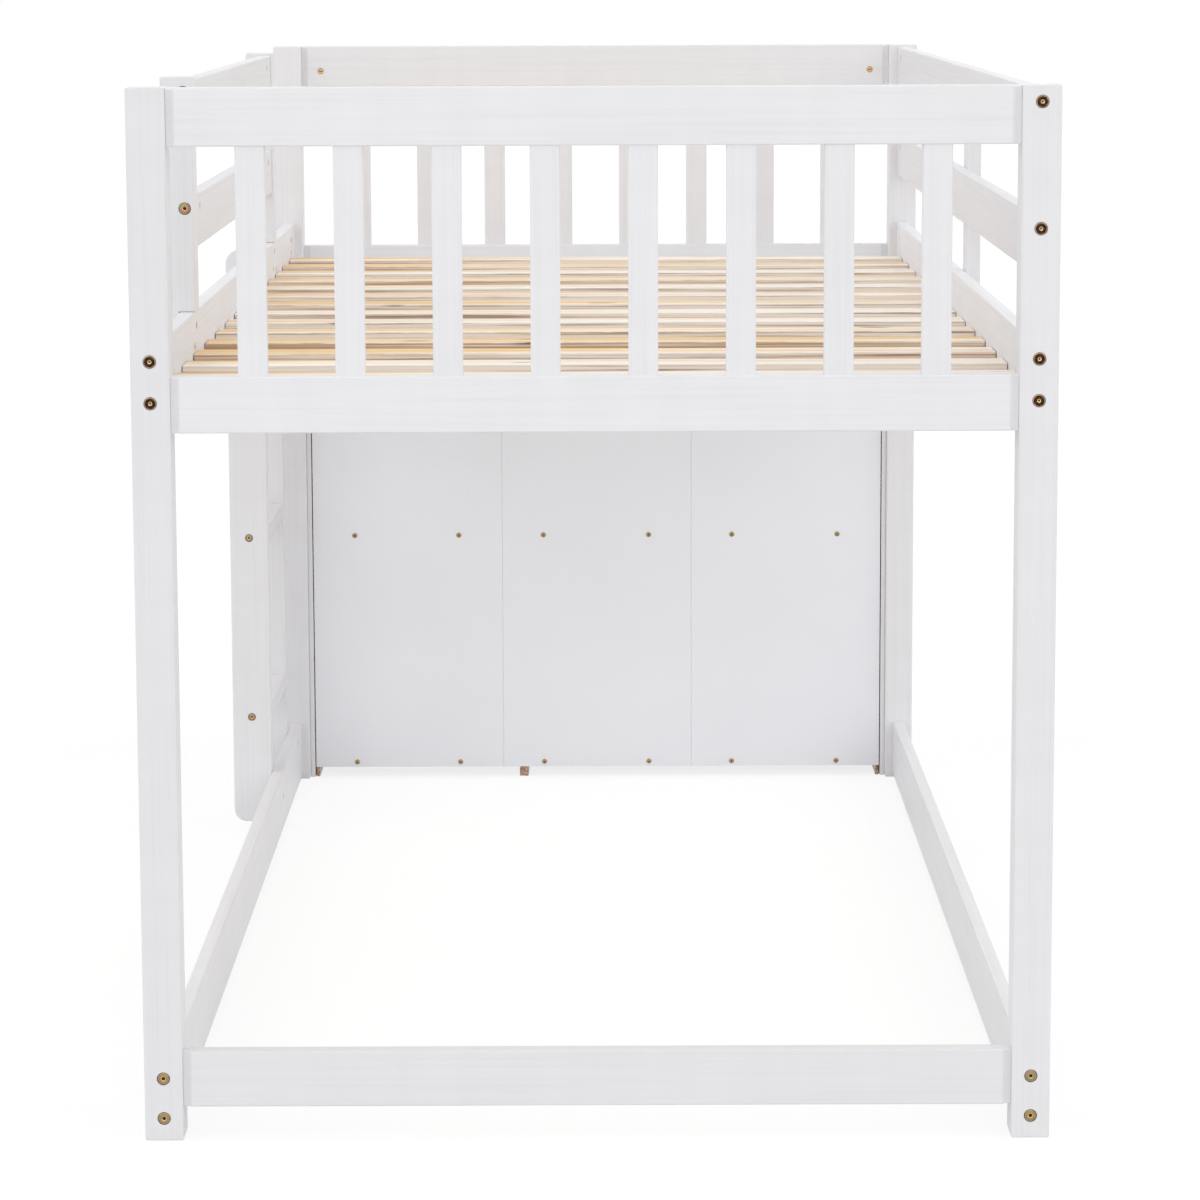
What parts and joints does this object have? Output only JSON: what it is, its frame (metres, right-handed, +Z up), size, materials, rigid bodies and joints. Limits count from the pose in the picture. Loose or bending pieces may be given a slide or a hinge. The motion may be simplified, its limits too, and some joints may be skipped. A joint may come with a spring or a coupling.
{
  "type": "bunk bed with drawers",
  "caption": "White pine raised bunk bed with baluster ends, guard rails, a slatted deck, a fixed side ladder, and a cabinet of open shelves and drawers under and beyond its far end.",
  "frame": {"origin": "on the floor, under the middle of the whole outline, cabinet and ladder included", "axes": "+Z up; +Y along the bed, from the open end towards the cabinet end, the way the drawers open; +X across the bed, away from the ladder side"},
  "size_m": [1.1154, 2.3844, 1.232],
  "materials": {
    "white_painted_pine": "satin white paint on pine, faint grain showing through",
    "natural_pine": "planed pale pine with grain and a few knots, no varnish",
    "white_panel": "smooth white laminated board with raw brown cut edges at the back",
    "white_hardboard": "thin white faced hardboard, matt",
    "drawer_wood": "clear pale pine boards, matt",
    "yellow_zinc_steel": "yellow zinc plated bolts and screws with dark sockets",
    "raw_board_core": "bare brown particle board edge"
  },
  "bodies": {
    "frame": {"post_near_left": "white_painted_pine", "post_near_right": "white_painted_pine", "post_far_left": "white_painted_pine", "post_far_right": "white_painted_pine", "near_top_rail": "white_painted_pine", "near_deck_rail": "white_painted_pine", "near_low_rail": "white_painted_pine", "far_top_rail": "white_painted_pine", "far_deck_rail": "white_painted_pine", "near_baluster_1": "white_painted_pine", "near_baluster_2": "white_painted_pine", "near_baluster_3": "white_painted_pine", "near_baluster_4": "white_painted_pine", "near_baluster_5": "white_painted_pine", "near_baluster_6": "white_painted_pine", "near_baluster_7": "white_painted_pine", "near_baluster_8": "white_painted_pine", "far_baluster_1": "white_painted_pine", "far_baluster_2": "white_painted_pine", "far_baluster_3": "white_painted_pine", "far_baluster_4": "white_painted_pine", "far_baluster_5": "white_painted_pine", "far_baluster_6": "white_painted_pine", "far_baluster_7": "white_painted_pine", "far_baluster_8": "white_painted_pine", "deck_side_rail_left": "white_painted_pine", "deck_side_rail_right": "white_painted_pine", "low_side_rail_left": "white_painted_pine", "low_side_rail_right": "white_painted_pine", "guard_right_top_rail": "white_painted_pine", "guard_right_mid_rail": "white_painted_pine", "guard_right_upright": "white_painted_pine", "guard_left_post_1": "white_painted_pine", "guard_left_post_2": "white_painted_pine", "guard_left_top_rail": "white_painted_pine", "guard_left_mid_rail": "white_painted_pine", "slat_deck": "natural_pine", "ladder_stringer_near": "white_painted_pine", "ladder_stringer_far": "white_painted_pine", "ladder_tread_1": "white_painted_pine", "ladder_tread_2": "white_painted_pine", "ladder_tread_3": "white_painted_pine", "cabinet_side_left": "white_panel", "cabinet_side_right": "white_panel", "cabinet_divider": "white_panel", "cabinet_bottom_left": "white_panel", "cabinet_bottom_right": "white_panel", "cabinet_shelf_left": "white_panel", "cabinet_shelf_right": "white_panel", "cabinet_top": "white_panel", "cabinet_back": "white_hardboard"},
    "drawer_1": {"drawer_front_1": "white_painted_pine", "drawer_box_1": "drawer_wood"},
    "drawer_2": {"drawer_front_2": "white_painted_pine", "drawer_box_2": "drawer_wood"},
    "drawer_3": {"drawer_front_3": "white_painted_pine", "drawer_box_3": "drawer_wood"},
    "drawer_4": {"drawer_front_4": "white_painted_pine", "drawer_box_4": "drawer_wood"}
  },
  "joints": [
    {"name": "drawer_1_slide", "type": "slide", "parent": "frame", "child": "drawer_1", "axis": [0, 1, 0], "range_m": [0, 0.3]},
    {"name": "drawer_2_slide", "type": "slide", "parent": "frame", "child": "drawer_2", "axis": [0, 1, 0], "range_m": [0, 0.3]},
    {"name": "drawer_3_slide", "type": "slide", "parent": "frame", "child": "drawer_3", "axis": [0, 1, 0], "range_m": [0, 0.3]},
    {"name": "drawer_4_slide", "type": "slide", "parent": "frame", "child": "drawer_4", "axis": [0, 1, 0], "range_m": [0, 0.3]}
  ]
}
